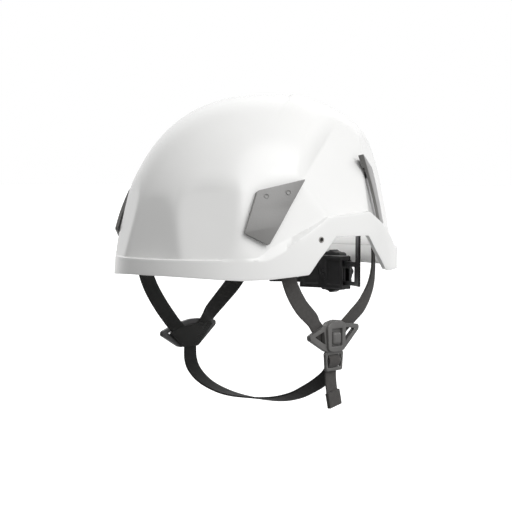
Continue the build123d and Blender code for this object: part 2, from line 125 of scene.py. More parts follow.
stageSize = {"floorHeight": -0.30, "floorSide": 60.0}
surround = {     # a soft studio all round; each patch is (direction, start, full, strength)
    "base": 0.24,
    "seen": 1.0,     # how bright the backdrop itself looks
    "patches": {
        "backdrop": ((-0.66, 0.75, 0.0), 0.36, 0.90, 0.72),
        "ceiling": ((0.0, 0.1, 1.0), 0.15, 0.95, 0.50),
        "rightSide": ((0.93, 0.25, 0.2), 0.20, 0.95, 0.47),
        "rightFront": ((0.90, -0.42, -0.10), 0.60, 0.98, 0.26),
        "rightHigh": ((0.71, -0.08, 0.70), 0.86, 0.98, 2.1),
    },
}
lamps = {
    "highLeft": {"place": (-2.1, -0.8, 1.6), "aim": (0, 0, 0.08),
                 "power": 11, "side": 1.4, "mirrored": False},
    "highRight": {"place": (1.7, 0.3, 1.0), "aim": (0, 0, 0.05),
                  "power": 4, "side": 1.0, "mirrored": True},
    "inside": {"place": (0.0, 0.02, 0.03), "aim": (0.0, 0.06, 0.2),
               "power": 0.4, "side": 0.1, "mirrored": False},
}


def addSurround():
    world = bpy.data.worlds.new("paleStudio")
    bpy.context.scene.world = world
    world.use_nodes = True
    tree = world.node_tree
    coord = addNode(tree, "ShaderNodeTexCoord")
    total = None
    for way, start, full, strength in surround["patches"].values():
        facing = addNode(tree, "ShaderNodeVectorMath", operation="DOT_PRODUCT")
        facing.inputs[1].default_value = Vector(way).normalized()
        patch = addNode(tree, "ShaderNodeMapRange", interpolation_type="SMOOTHSTEP")
        for name, value in (("From Min", start), ("From Max", full), ("To Min", 0.0), ("To Max", strength)):
            patch.inputs[name].default_value = value
        tree.links.new(coord.outputs["Generated"], facing.inputs[0])
        tree.links.new(facing.outputs["Value"], patch.inputs["Value"])
        more = addNode(tree, "ShaderNodeMath", operation="ADD")
        more.inputs[0].default_value = surround["base"]
        if total:
            tree.links.new(total.outputs["Value"], more.inputs[0])
        tree.links.new(patch.outputs["Result"], more.inputs[1])
        total = more
    ray = addNode(tree, "ShaderNodeLightPath")
    seen = addNode(tree, "ShaderNodeMix", data_type="FLOAT")
    seen.inputs[3].default_value = surround["seen"]
    tree.links.new(ray.outputs["Is Camera Ray"], seen.inputs[0])
    tree.links.new(total.outputs["Value"], seen.inputs[2])
    tree.links.new(seen.outputs[0], tree.nodes["Background"].inputs["Strength"])
    tree.nodes["Background"].inputs["Color"].default_value = (1, 1, 1, 1)


def addStage():
    bpy.ops.mesh.primitive_plane_add(size=stageSize["floorSide"], location=(0, 0, stageSize["floorHeight"]))
    floor = bpy.context.object
    floor.name = "floor"
    floor.data.materials.append(paleFloor())
    floor.visible_diffuse = False
    floor.visible_glossy = False
    for name, lamp in lamps.items():
        bpy.ops.object.light_add(type="AREA", location=lamp["place"])
        light = bpy.context.object
        light.name = name + "Light"
        light.data.energy = lamp["power"]
        light.data.size = lamp["side"]
        light.visible_glossy = lamp["mirrored"]
        aim = Vector(lamp["aim"]) - Vector(lamp["place"])
        light.rotation_euler = aim.to_track_quat("-Z", "Y").to_euler()
    addSurround()
    bpy.context.scene.view_settings.view_transform = "Standard"


def newMaterial(name, **values):
    material = bpy.data.materials.new(name)
    material.use_nodes = True
    shader = material.node_tree.nodes["Principled BSDF"]
    for key, value in values.items():
        shader.inputs[key.replace("_", " ")].default_value = value
    return material, material.node_tree, shader


def addNode(tree, kind, **values):
    node = tree.nodes.new(kind)
    for key, value in values.items():
        if key in node.inputs:
            node.inputs[key].default_value = value
        else:
            setattr(node, key, value)
    return node


def noiseBump(tree, shader, size, height, strength, detail=3.0):
    coord = addNode(tree, "ShaderNodeTexCoord")
    noise = addNode(tree, "ShaderNodeTexNoise", Scale=size, Detail=detail)
    bump = addNode(tree, "ShaderNodeBump", Strength=strength, Distance=height)
    tree.links.new(coord.outputs["Object"], noise.inputs["Vector"])
    tree.links.new(noise.outputs["Fac"], bump.inputs["Height"])
    tree.links.new(bump.outputs["Normal"], shader.inputs["Normal"])
    return noise


def broadNoise(tree, size, detail):     # slow changes of tone and gloss over the whole piece
    broad = addNode(tree, "ShaderNodeTexNoise", Scale=size, Detail=detail)
    tree.links.new(tree.nodes["Texture Coordinate"].outputs["Object"], broad.inputs["Vector"])
    return broad


def spread(tree, noise, socket, low, high):     # a noise wanders the socket between two values
    ramp = addNode(tree, "ShaderNodeMapRange")
    ramp.inputs["From Min"].default_value = 0.3
    ramp.inputs["From Max"].default_value = 0.7
    ramp.inputs["To Min"].default_value = low
    ramp.inputs["To Max"].default_value = high
    tree.links.new(noise.outputs["Fac"], ramp.inputs["Value"])
    tree.links.new(ramp.outputs["Result"], socket)


def tint(tree, noise, socket, dark, light):
    ramp = addNode(tree, "ShaderNodeValToRGB")
    ramp.color_ramp.elements[0].color = (*dark, 1)
    ramp.color_ramp.elements[1].color = (*light, 1)
    ramp.color_ramp.elements[0].position = 0.3
    ramp.color_ramp.elements[1].position = 0.7
    tree.links.new(noise.outputs["Fac"], ramp.inputs["Fac"])
    tree.links.new(ramp.outputs["Color"], socket)


def paleFloor():
    material, tree, shader = newMaterial("paleFloor", Roughness=0.9)
    noise = noiseBump(tree, shader, size=3.0, height=0.0005, strength=0.1)
    tint(tree, noise, shader.inputs["Base Color"], (0.93, 0.93, 0.93), (0.95, 0.95, 0.95))
    shader.inputs["Emission Color"].default_value = (1, 1, 1, 1)
    shader.inputs["Emission Strength"].default_value = 0.35
    return material


def whiteShell():
    material, tree, shader = newMaterial("glossyWhiteShell", Roughness=0.22)
    shader.inputs["Coat Weight"].default_value = 0.35
    shader.inputs["Coat Roughness"].default_value = 0.08
    noiseBump(tree, shader, size=190.0, height=0.0004, strength=0.05, detail=2.0)
    broad = broadNoise(tree, size=9.0, detail=4.0)
    spread(tree, broad, shader.inputs["Roughness"], 0.18, 0.27)
    tint(tree, broad, shader.inputs["Base Color"], (0.80, 0.80, 0.79), (0.84, 0.84, 0.83))
    return material


def moulded(name, dark, light, roughness):
    material, tree, shader = newMaterial(name)
    noiseBump(tree, shader, size=900.0, height=0.0003, strength=0.25, detail=2.0)
    broad = broadNoise(tree, size=45.0, detail=5.0)
    spread(tree, broad, shader.inputs["Roughness"], roughness - 0.05, roughness + 0.06)
    tint(tree, broad, shader.inputs["Base Color"], dark, light)
    return material


def turnedMetal(name, colour, roughness):
    material, tree, shader = newMaterial(name, Metallic=1.0)
    noise = noiseBump(tree, shader, size=1400.0, height=0.0001, strength=0.2, detail=2.0)
    spread(tree, noise, shader.inputs["Roughness"], roughness - 0.06, roughness + 0.08)
    tint(tree, noise, shader.inputs["Base Color"], [c * 0.85 for c in colour], colour)
    return material


weave = {"across": 3900.0, "along": 3000.0, "selvedge": 0.0062, "selvedgeHalf": 0.0003}


def woven(name, dark, light):     # a weave that follows the strap, with a selvedge along each edge
    material, tree, shader = newMaterial(name, Roughness=0.78)
    shader.inputs["Sheen Weight"].default_value = 0.12
    shader.inputs["Specular IOR Level"].default_value = 0.3
    coord = addNode(tree, "ShaderNodeTexCoord")
    split = addNode(tree, "ShaderNodeSeparateXYZ")
    tree.links.new(coord.outputs["UV"], split.inputs["Vector"])
    waves = []
    for axis, rate in (("X", weave["across"]), ("Y", weave["along"])):
        scaled = addNode(tree, "ShaderNodeMath", operation="MULTIPLY")
        scaled.inputs[1].default_value = rate
        wave = addNode(tree, "ShaderNodeMath", operation="SINE")
        tree.links.new(split.outputs[axis], scaled.inputs[0])
        tree.links.new(scaled.outputs[0], wave.inputs[0])
        waves.append(wave)
    threads = addNode(tree, "ShaderNodeMath", operation="MULTIPLY")
    tree.links.new(waves[0].outputs[0], threads.inputs[0])
    tree.links.new(waves[1].outputs[0], threads.inputs[1])
    edge = addNode(tree, "ShaderNodeMath", operation="ABSOLUTE")
    tree.links.new(split.outputs["X"], edge.inputs[0])
    selvedge = addNode(tree, "ShaderNodeMath", operation="COMPARE")
    selvedge.inputs[1].default_value = weave["selvedge"]
    selvedge.inputs[2].default_value = weave["selvedgeHalf"]
    tree.links.new(edge.outputs[0], selvedge.inputs[0])
    height = addNode(tree, "ShaderNodeMath", operation="SUBTRACT")
    tree.links.new(threads.outputs[0], height.inputs[0])
    tree.links.new(selvedge.outputs[0], height.inputs[1])
    bump = addNode(tree, "ShaderNodeBump", Strength=0.5, Distance=0.0002)
    tree.links.new(height.outputs[0], bump.inputs["Height"])
    tree.links.new(bump.outputs["Normal"], shader.inputs["Normal"])
    broad = addNode(tree, "ShaderNodeTexNoise", Scale=260.0, Detail=3.0)
    tree.links.new(coord.outputs["UV"], broad.inputs["Vector"])
    tint(tree, broad, shader.inputs["Base Color"], dark, light)
    return material


finishes = {
    "shell": whiteShell(),
    "clip_plastic": moulded("greyClip", (0.135, 0.132, 0.127), (0.16, 0.157, 0.151), 0.36),
    "insert_metal": turnedMetal("turnedInsert", (0.45, 0.44, 0.42), 0.35),
    "harness_plastic": moulded("blackHarnessPlastic", (0.012, 0.012, 0.013), (0.020, 0.020, 0.021), 0.38),
    "knob_plastic": moulded("blackKnob", (0.010, 0.010, 0.011), (0.018, 0.018, 0.019), 0.45),
    "pad_fabric": moulded("blackPad", (0.02, 0.02, 0.022), (0.035, 0.035, 0.037), 0.85),
    "cradle_webbing": woven("cradleWebbing", (0.02, 0.02, 0.022), (0.035, 0.035, 0.037)),
    "harness_webbing": woven("harnessWebbing", (0.050, 0.047, 0.045), (0.064, 0.060, 0.057)),
    # a darker copy of the same webbing: painted shade for the far-side straps, the chin strap and the
    # divider's webbing
    "harness_webbing_far": woven("harnessWebbingPaintedShade", (0.004, 0.004, 0.0035), (0.008, 0.008, 0.007)),
    "spring_steel": turnedMetal("springSteel", (0.6, 0.6, 0.6), 0.3),
    "buckle_plastic": moulded("greyBuckle", (0.10, 0.098, 0.095), (0.13, 0.127, 0.123), 0.4),
    "divider_plastic": moulded("darkDivider", (0.040, 0.040, 0.041), (0.055, 0.055, 0.056), 0.36),
}
clipShader = finishes["clip_plastic"].node_tree.nodes["Principled BSDF"]
clipShader.inputs["Specular IOR Level"].default_value = 0.85
clipShader.inputs["Coat Weight"].default_value = 0.5
clipShader.inputs["Coat Roughness"].default_value = 0.3
slotOf = {part["node"]: part["material_slot"] for part in frame["record"]["subparts"]}
bodies = frame["record"]["behaviour"]["bodies"]
bodyOf = {node: body for body, members in bodies.items() for node in members}
for name, node in nodes.items():
    node.data.materials.clear()
    node.data.materials.append(finishes[slotOf[name]])

addCamera()
addStage()
print("camera, floor and lights placed")

dome = {"halfWidth": 108.6, "front": 145.4, "rear": 135.6, "height": 157.1, "roundness": 2.427,
        "lean": 0.074, "centre": 11.3}
shellSize = {
    "wall": 3.2, "bandProud": 1.6, "softEdge": 0.9, "blendWidth": 26.0,
    "swellPower": 1.7, "leastFacing": 0.05,
    "frontEdge": 30, "rearEdge": 118,     # turns from the front where the columns change their spacing
    "frontColumns": 34, "sideColumns": 122, "rearColumns": 60,
    "bandRows": 9, "facetRows": 42, "crownRows": 58,
}
fan = np.array((0.0, 8.0, 20.0))     # every column of the shell's mesh fans out from this point
# side outlines as (y, z): the rim's edge, the band's ledge and the line where the facets end
rimLine = ((-300, 4.3), (-134, 4.3), (-113, 2), (-98, 0.8), (-79, 1.5), (-46, 4.5), (-36, 16.5), (-17, 35),
           (25, 35), (36, 22), (55, 5), (66, 3), (300, 3))
ledgeLine = ((-300, 17.4), (-80, 17.4), (-24, 51), (30, 55), (58, 41), (84, 22), (300, 20))
creaseLine = ((-300, 63.9), (-121, 63.9), (-110, 72), (-92, 73.4), (-78.6, 73.3), (-38.6, 82.3),
              (35.3, 133.9), (48, 134), (85, 112), (300, 100))
insertSeat = {"way": (0.97, -0.243, 0.0), "place": (100.4, -32.2, 33.0), "depth": 24.0, "radius": 2.65}
search = {"near": 10.0, "far": 400.0, "beyond": 1e3, "reachSteps": 34,
          "lowest": -40, "highest": 89, "riseSteps": 26}     # limits and halvings when a surface is looked for
ledgeRise = ((0, 0.6), (40, 0.8), (44, 5.5), (50, 4.5), (68, 0.8), (180, 0.6))     # by turn from the front
bandShare = ((0, 0), (9, 0), (14, 1), (100, 1), (116, 0), (180, 0))     # how much of the band runs on upwards
facetPlanes = [(np.array(way), far) for way, far in (
    ((0.0, -0.991, 0.137), 128.8),         # front
    ((0.523, -0.817, 0.242), 125.1),       # brow
    ((0.862, -0.457, 0.218), 113.1),       # under the front clip
    ((0.904, -0.393, 0.170), 110.0),       # corner
    ((0.910, -0.035, 0.414), 115.8),       # side
    ((0.863, 0.469, 0.188), 113.9),        # under the rear clip
)]


def domeShape(points, grow):
    y = points[..., 1] - dome["centre"] - dome["lean"] * points[..., 2]
    reach = np.where(y < 0, dome["front"], dome["rear"]) + grow
    power = dome["roundness"]
    plan = np.hypot(points[..., 0] / (dome["halfWidth"] + grow), y / reach)
    height = np.clip(points[..., 2] / (dome["height"] + grow), 0, None)
    return (plan ** power + height ** power) ** (1 / power) - 1


def domeReach(ways, grow=0.0):
    low, high = np.full(ways.shape[:-1], search["near"]), np.full(ways.shape[:-1], search["far"])
    for step in range(search["reachSteps"]):
        middle = (low + high) / 2
        inside = domeShape(fan + ways * middle[..., None], grow) < 0
        low, high = np.where(inside, middle, low), np.where(inside, high, middle)
    return (low + high) / 2


def byTurn(table, ways):     # a value from a table of (degrees from the front, value), the same on both sides
    turns, values = zip(*table)
    return np.interp(np.degrees(np.arctan2(np.abs(ways[..., 0]), -ways[..., 1])), turns, values)


def facetReach(ways):     # the nearest of the dome and the facets, with a small soft edge between them
    ways = ways.copy()
    ways[..., 0] = np.abs(ways[..., 0])
    reaches = [domeReach(ways, shellSize["bandProud"] * byTurn(bandShare, ways))]
    for normal, distance in facetPlanes:
        facing = ways @ normal
        seen = facing > shellSize["leastFacing"]
        safe = np.where(seen, facing, 1)
        reaches.append(np.where(seen, (distance - normal @ fan) / safe, search["beyond"]))
    reaches = np.stack(reaches, -1)
    nearest = reaches.min(-1)
    soft = shellSize["softEdge"]
    weight = np.exp(-(reaches - nearest[..., None]) / soft)
    return nearest - soft * np.log(weight.sum(-1))


def wayTo(turns, rises):
    return np.stack((np.sin(turns) * np.cos(rises), -np.cos(turns) * np.cos(rises), np.sin(rises)), -1)


def lineRise(turns, line, reachOf, lift=0.0):     # how high each column is where it meets a side outline
    ys, zs = np.array(line).T
    low = np.full(turns.shape, math.radians(search["lowest"]))
    high = np.full(turns.shape, math.radians(search["highest"]))
    for step in range(search["riseSteps"]):
        middle = (low + high) / 2
        ways = wayTo(turns, middle)
        points = fan + ways * reachOf(ways)[..., None]
        under = points[..., 2] < np.interp(points[..., 1], ys, zs) + lift
        low, high = np.where(under, middle, low), np.where(under, high, middle)
    return (low + high) / 2


def upperReach(ways, rises, creaseRise):     # above the crease the surface swells back to the full dome
    low, full = facetReach(ways), domeReach(ways)
    share = np.clip((rises - creaseRise) * full / shellSize["blendWidth"], 0, 1)
    swell = 1 - (1 - share) ** shellSize["swellPower"]
    return low + (full - low) * swell


crownStep = {     # a low step across each side of the crown, as (y, x) of its line and (y, height) along it
    "line": ((-29, 52), (3, 38), (26, 20), (60, 12)), "height": ((-29, 0), (3, 1.3), (26, 1.6), (50, 0)),
    "width": 2.6, "fade": 34.0, "start": 0.25,
}


def stepRise(points):     # outside its line the crown stands a little higher, and falls back further out
    lineY, lineX = zip(*crownStep["line"])
    heightY, heights = zip(*crownStep["height"])
    off = np.abs(points[..., 0]) - np.interp(points[..., 1], lineY, lineX)
    edge = np.clip(off / crownStep["width"], 0, 1)
    fall = np.clip(1 - off / crownStep["fade"], 0, 1)
    return np.interp(points[..., 1], heightY, heights) * edge * edge * (3 - 2 * edge) * fall


def columnTurns():
    front, rear = shellSize["frontEdge"], shellSize["rearEdge"]
    half = np.concatenate((np.linspace(0, front, shellSize["frontColumns"], endpoint=False),
                           np.linspace(front, rear, shellSize["sideColumns"], endpoint=False),
                           np.linspace(rear, 180, shellSize["rearColumns"], endpoint=False)))
    return np.radians(np.concatenate((half, 360 - np.append(half, 180)[:0:-1])))


def bandReach(ways):
    return domeReach(ways, shellSize["bandProud"])


def shellPoints():
    turns = columnTurns()
    level = wayTo(turns, np.zeros(turns.shape))
    rim = lineRise(turns, rimLine, bandReach)
    ledge = lineRise(turns, ledgeLine, bandReach)
    foot = lineRise(turns, ledgeLine, facetReach, byTurn(ledgeRise, level))
    crease = lineRise(turns, creaseLine, facetReach)
    rows = []
    for share in np.linspace(0, 1, shellSize["bandRows"]):
        ways = wayTo(turns, rim + (ledge - rim) * share)
        rows.append(fan + ways * bandReach(ways)[..., None])
    for share in np.linspace(0, 1, shellSize["facetRows"]):
        ways = wayTo(turns, foot + (crease - foot) * share)
        rows.append(fan + ways * facetReach(ways)[..., None])
    top = math.pi / 2
    for share in np.linspace(0, 1, shellSize["crownRows"])[1:]:
        rises = crease + (top - crease) * share
        ways = wayTo(turns, rises)
        reach = upperReach(ways, rises, crease)[..., None]
        reach += stepRise(fan + ways * reach)[..., None] * min(1, share / crownStep["start"])
        rows.append(fan + ways * reach)
    return np.stack(rows) * mm


def cutInsertHole(shell, side):
    x, y, z = insertSeat["way"]
    placeX, placeY, placeZ = insertSeat["place"]
    way = Vector((x * side, y, z))
    bpy.ops.mesh.primitive_cylinder_add(vertices=40, radius=insertSeat["radius"] * mm,
                                        depth=insertSeat["depth"] * mm)
    cutter = bpy.context.object
    turn = way.to_track_quat("Z", "Y").to_matrix().to_4x4()
    cutter.data.transform(Matrix.Translation(Vector((placeX * side, placeY, placeZ)) * mm) @ turn)
    addModifier(shell, "BOOLEAN", operation="DIFFERENCE", object=cutter, solver="EXACT")
    bpy.data.objects.remove(cutter)


def makeShell():
    points = shellPoints()
    rowCount, columnCount = points.shape[:2]
    deselectAll()
    bpy.ops.mesh.primitive_grid_add(x_subdivisions=columnCount, y_subdivisions=rowCount - 1, size=2)
    shell = bpy.context.object
    shell.name = "shellMoulding"
    co = np.zeros(len(shell.data.vertices) * 3)
    shell.data.vertices.foreach_get("co", co)
    co = co.reshape(-1, 3)
    column = np.rint((co[:, 0] + 1) / 2 * columnCount).astype(int) % columnCount
    row = np.rint((co[:, 1] + 1) / 2 * (rowCount - 1)).astype(int)
    shell.data.vertices.foreach_set("co", points[row, column].ravel())
    tidyNormals(shell)
    addModifier(shell, "SOLIDIFY", thickness=shellSize["wall"] * mm, offset=-1, use_even_offset=False)
    addModifier(shell, "BEVEL", width=0.5 * mm, segments=2, limit_method="ANGLE",
                angle_limit=math.radians(50), harden_normals=False)
    for side in (1, -1):
        cutInsertHole(shell, side)
    smooth(shell, 40)
    give(shell, finishes["shell"], "root")
    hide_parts("shell")


makeShell()
print("shell made")


def planeCorners(clip):     # a clip's four corners on its facet, and lifted off it
    way, far = facetPlanes[clip["facet"]]
    seats, lifted = [], []
    gaps = (clip["topGap"], clip["topGap"], clip["footGap"], clip["footGap"])
    for corner, gap in zip(clip["corners"], gaps):
        seat = np.array(corner) - way * (np.array(corner) @ way - far)
        seats.append(seat)
        lifted.append(seat + way * gap)
    return [Vector(p) * mm for p in seats], [Vector(p) * mm for p in lifted]


clipSize = {
    "thickness": 2.6, "bow": 1.0, "bowShift": 0.3, "split": 0.32, "cornerRound": 1.6, "softEdge": 0.45,
    "cuts": 16, "seatDepth": 0.9, "bendHalf": 1.2,
    "front": {"facet": 2, "topGap": 3.8, "footGap": 4.6,
              "corners": ((72, -78.6, 73.3), (89.4, -38.6, 82.3), (83.5, -78, 28.7), (70.3, -94.1, 38.6))},
    "rear": {"facet": 5, "topGap": 3.8, "footGap": 4.8,
             "corners": ((89.6, 36.5, 104), (76, 66, 92), (81.5, 76, 42.5), (90.7, 58.5, 43.5))},
}


pinSize = {"radius": 2.3, "proud": 0.4, "length": 8.0, "across": (0.25, 0.75), "down": 0.55,
           "rim": 0.7, "dishEdge": 0.15, "dishDepth": 0.35}
sideWord = {1: "left", -1: "right"}


def mirrored(point, side):
    return Vector((point.x * side, point.y, point.z))


def selectFaces(piece, chosen):     # leaves edit mode with just these faces selected
    bpy.ops.object.mode_set(mode="EDIT")
    bpy.ops.mesh.select_mode(type="FACE")
    bpy.ops.mesh.select_all(action="DESELECT")
    bpy.ops.object.mode_set(mode="OBJECT")
    for face in piece.data.polygons:
        face.select = chosen(face)
    bpy.ops.object.mode_set(mode="EDIT")


def makeClip(which, side):
    clip = clipSize[which]
    seats, lifted = planeCorners(clip)
    deselectAll()
    bpy.ops.mesh.primitive_circle_add(vertices=4, radius=1, fill_type="NGON")
    piece = bpy.context.object
    piece.name = which + sideWord[side].title() + "HeadlampClip"
    for vertex, corner in zip(piece.data.vertices, lifted):
        vertex.co = corner
    outward = (lifted[1] - lifted[0]).cross(lifted[2] - lifted[1]).normalized()
    if outward.dot(Vector(facetPlanes[clip["facet"]][0])) < 0:
        outward = -outward
    share = clipSize["split"]
    splitFront, splitRear = lifted[0].lerp(lifted[3], share), lifted[1].lerp(lifted[2], share)
    along = (splitRear - splitFront).normalized()
    bpy.ops.object.mode_set(mode="EDIT")
    bpy.ops.mesh.select_all(action="SELECT")
    bpy.ops.mesh.bevel(offset=clipSize["cornerRound"] * mm, segments=3, affect="VERTICES")
    cuts = clipSize["cuts"]
    for step in [i / cuts for i in range(1, cuts)] + [share]:     # cuts across, so that the bow can curve the clip, and one where the tab meets the block
        point = lifted[0].lerp(lifted[3], step)
        bpy.ops.mesh.select_all(action="SELECT")
        bpy.ops.mesh.bisect(plane_co=point, plane_no=along.cross(outward))
    bpy.ops.mesh.select_all(action="SELECT")
    bpy.ops.mesh.extrude_region_move(
        TRANSFORM_OT_translate={"value": -outward * clipSize["thickness"] * mm})
    bpy.ops.mesh.select_all(action="SELECT")
    bpy.ops.mesh.normals_make_consistent(inside=False)
    bpy.ops.object.mode_set(mode="OBJECT")
    upward = (lifted[0] + lifted[1] - lifted[2] - lifted[3]).normalized()
    selectFaces(piece, lambda face: face.normal.dot(outward) < -0.9
                and (face.center - splitFront).dot(upward) > 0.5 * mm)
    reach = (clip["topGap"] - clipSize["thickness"] + clipSize["seatDepth"]) * mm
    bpy.ops.mesh.extrude_region_move(TRANSFORM_OT_translate={"value": -outward * reach})
    bpy.ops.object.mode_set(mode="OBJECT")
    length = (lifted[3] - lifted[0]).length
    for vertex in piece.data.vertices:
        down = max(0.0, min(1.0, (lifted[0] - vertex.co).dot(upward) / length))
        vertex.co += outward * clipSize["bow"] * mm * (math.sin(math.pi * down) - clipSize["bowShift"])
        vertex.co.x *= side
    tidyNormals(piece)
    addModifier(piece, "BEVEL", width=clipSize["softEdge"] * mm, segments=3, limit_method="ANGLE",
                angle_limit=math.radians(30))
    smooth(piece, 30)
    coat(piece, finishes["clip_plastic"])
    word = sideWord[side]
    node = which + "_" + word + "_clip"
    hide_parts(node, node + "_tab")
    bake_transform(piece)
    return lifted, outward


def makePins(lifted, outward):
    pins = []
    for part in pinSize["across"]:
        top, foot = lifted[0].lerp(lifted[1], part), lifted[3].lerp(lifted[2], part)
        spot = top.lerp(foot, clipSize["split"] * pinSize["down"])
        for side in (1, -1):
            way = mirrored(outward, side)
            bpy.ops.mesh.primitive_cylinder_add(vertices=40, radius=pinSize["radius"] * mm,
                                                depth=pinSize["length"] * mm)
            pin = bpy.context.object
            selectFaces(pin, lambda face: face.normal.z > 0.9)
            bpy.ops.mesh.inset(thickness=pinSize["rim"] * mm, depth=0)
            bpy.ops.mesh.inset(thickness=pinSize["dishEdge"] * mm, depth=-pinSize["dishDepth"] * mm)
            bpy.ops.object.mode_set(mode="OBJECT")
            turn = way.to_track_quat("Z", "Y").to_matrix().to_4x4()
            place = mirrored(spot, side) - way * (pinSize["length"] / 2 - pinSize["proud"]) * mm
            pin.data.transform(Matrix.Translation(place) @ turn)
            addModifier(pin, "BEVEL", width=0.12 * mm, segments=2, limit_method="ANGLE",
                        angle_limit=math.radians(40))
            smooth(pin, 35)
            pins.append(pin)
    return pins


def joined(pieces, name):
    deselectAll()
    for piece in pieces:
        piece.select_set(True)
    bpy.context.view_layer.objects.active = pieces[0]
    bpy.ops.object.join()
    bpy.context.object.name = name
    return bpy.context.object


pins = []
for which in ("front", "rear"):
    for side in (1, -1):
        lifted, outward = makeClip(which, side)
    pins += makePins(lifted, outward)
clipPins = give(joined(pins, "clipPins"), finishes["clip_plastic"], "root")
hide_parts("clip_pins")
print("clips made")


def copyOf(nodeName, name):     # a copy of a CAD piece, with its loose triangles merged
    piece = bpy.data.objects.new(name, nodes[nodeName].data.copy())
    bpy.context.scene.collection.objects.link(piece)
    tidyNormals(piece, 0.00001)
    return piece


def refined(nodeName, name, bevel, inside=False):     # a softened copy of a CAD piece
    piece = copyOf(nodeName, name)
    if inside:
        keepInside(piece)
    if bevel:
        addModifier(piece, "BEVEL", width=bevel * mm, segments=2, limit_method="ANGLE",
                    angle_limit=math.radians(32), use_clamp_overlap=False, loop_slide=True)
    smooth(piece)
    give(piece, finishes[slotOf[nodeName]], bodyOf[nodeName])
    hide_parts(nodeName)
    return piece


wallClear = {"facets": 1.4, "dome": 3.4}


def keepInside(piece):     # draws in whatever stands outside the shell's wall
    co = np.array([vertex.co for vertex in piece.data.vertices]) / mm - fan
    reach = np.linalg.norm(co, axis=1)
    limit = facetReach(co / reach[:, None]) - wallClear["facets"]
    above = co[:, 2] > 0
    upper = domeReach(co / reach[:, None]) - wallClear["dome"]
    reach = np.where(above, np.minimum(reach, np.minimum(limit, upper)) / reach, 1)
    for vertex, place in zip(piece.data.vertices, (co * reach[:, None] + fan) * mm):
        vertex.co = place


refined("accessory_inserts", "accessoryInserts", 0.15)
refined("headband", "headband", 0.5)
refined("hangers", "cradleHangers", 0.6, inside=True)
refined("strap_anchors", "strapAnchors", 0.6, inside=True)
refined("left_nape_arm", "leftNapeArm", 0.35)
refined("right_nape_arm", "rightNapeArm", 0.35)
refined("adjuster_housing", "adjusterHousing", 0.6)
refined("adjuster_cover", "adjusterCover", 0.5)
refined("adjuster_knob", "adjusterKnob", 0.5)
refined("adjuster_pinion", "adjusterPinion", 0.15)
refined("housing_screws", "housingScrews", 0.2)
print("headband, hangers and adjuster softened")


foreheadPad = {
    "voxel": 2.0, "shrink": 0.7, "pressure": 4.0, "frames": 20, "swell": 1.3, "fill": 0.7,
    "middle": 14.0, "outerSide": 84.3, "outerFront": 109.8,     # the ellipse that the outer face stays inside
    "seamGap": 24.0, "seamDepth": 0.7, "seamWidth": 1.6,
}


def makeForeheadPad():
    pad = copyOf("forehead_pad", "foreheadPad")
    addModifier(pad, "REMESH", mode="VOXEL", voxel_size=foreheadPad["voxel"] * mm)
    bpy.ops.object.mode_set(mode="EDIT")
    bpy.ops.mesh.select_all(action="SELECT")
    bpy.ops.transform.shrink_fatten(value=-foreheadPad["shrink"] * mm)
    bpy.ops.object.mode_set(mode="OBJECT")
    start = np.array([vertex.co for vertex in pad.data.vertices])
    swellPad(pad)
    places = np.array([vertex.co for vertex in pad.data.vertices])
    moved = places - start
    far = np.linalg.norm(moved, axis=1)[:, None]
    cap = foreheadPad["swell"] * mm
    places = start + moved * np.minimum(1, cap / np.maximum(far, 1e-9))
    places = keepInBand(sewn(pad, places / mm)) * mm
    for vertex, place in zip(pad.data.vertices, places):
        vertex.co = place
    addModifier(pad, "SUBSURF", levels=1, render_levels=1)
    smooth(pad, 80)
    give(pad, finishes["pad_fabric"], bodyOf["forehead_pad"])
    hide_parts("forehead_pad")


def swellPad(pad):     # pressure from inside rounds the pad's faces and edges
    pick(pad)
    bpy.ops.object.modifier_add(type="CLOTH")
    cloth = pad.modifiers[-1]
    cloth.settings.use_pressure = True
    cloth.settings.uniform_pressure_force = foreheadPad["pressure"]
    cloth.settings.effector_weights.gravity = 0
    cloth.point_cache.frame_start = 1
    cloth.point_cache.frame_end = foreheadPad["frames"]
    for frameNow in range(1, foreheadPad["frames"] + 1):
        bpy.context.scene.frame_set(frameNow)
    bpy.ops.object.modifier_apply(modifier=cloth.name)
    bpy.context.scene.frame_set(1)


def sewn(pad, places):     # shallow sewn channels across the pad, evenly along its curve
    turns = np.arctan2(places[:, 0], foreheadPad["middle"] - places[:, 1])
    along = turns * foreheadPad["outerFront"]
    off = np.abs((along + foreheadPad["seamGap"] / 2) % foreheadPad["seamGap"] - foreheadPad["seamGap"] / 2)
    depth = foreheadPad["seamDepth"] * np.exp(-(off / foreheadPad["seamWidth"]) ** 2)
    normals = np.array([vertex.normal for vertex in pad.data.vertices])
    return places - normals * depth[:, None]


def keepInBand(places):
    x, y = places[:, 0], places[:, 1] - foreheadPad["middle"]
    reach = np.hypot(x / foreheadPad["outerSide"], y / foreheadPad["outerFront"])
    inward = np.minimum(1, 1 / reach)
    return np.stack((x * inward, y * inward + foreheadPad["middle"], places[:, 2]), 1)


makeForeheadPad()
print("forehead pad made")


def curveThrough(points, steps=10):     # a smooth line through the points
    points = np.array(points, float)
    padded = np.vstack((2 * points[0] - points[1], points, 2 * points[-1] - points[-2]))
    line = []
    for i in range(len(points) - 1):
        before, start, stop, after = padded[i:i + 4]
        for t in np.linspace(0, 1, steps, endpoint=False):
            square = (2 * before - 5 * start + 4 * stop - after) * t * t
            cube = (3 * start - before - 3 * stop + after) * t ** 3
            line.append(0.5 * (2 * start + (stop - before) * t + square + cube))
    line.append(points[-1])
    return np.array(line)


def widthAlong(width, count, steps):     # one width all along, or one for each point of the route
    if isinstance(width, tuple):
        return curveThrough([[w, 0, 0] for w in width], steps)[:, 0]
    return np.full(count, width)


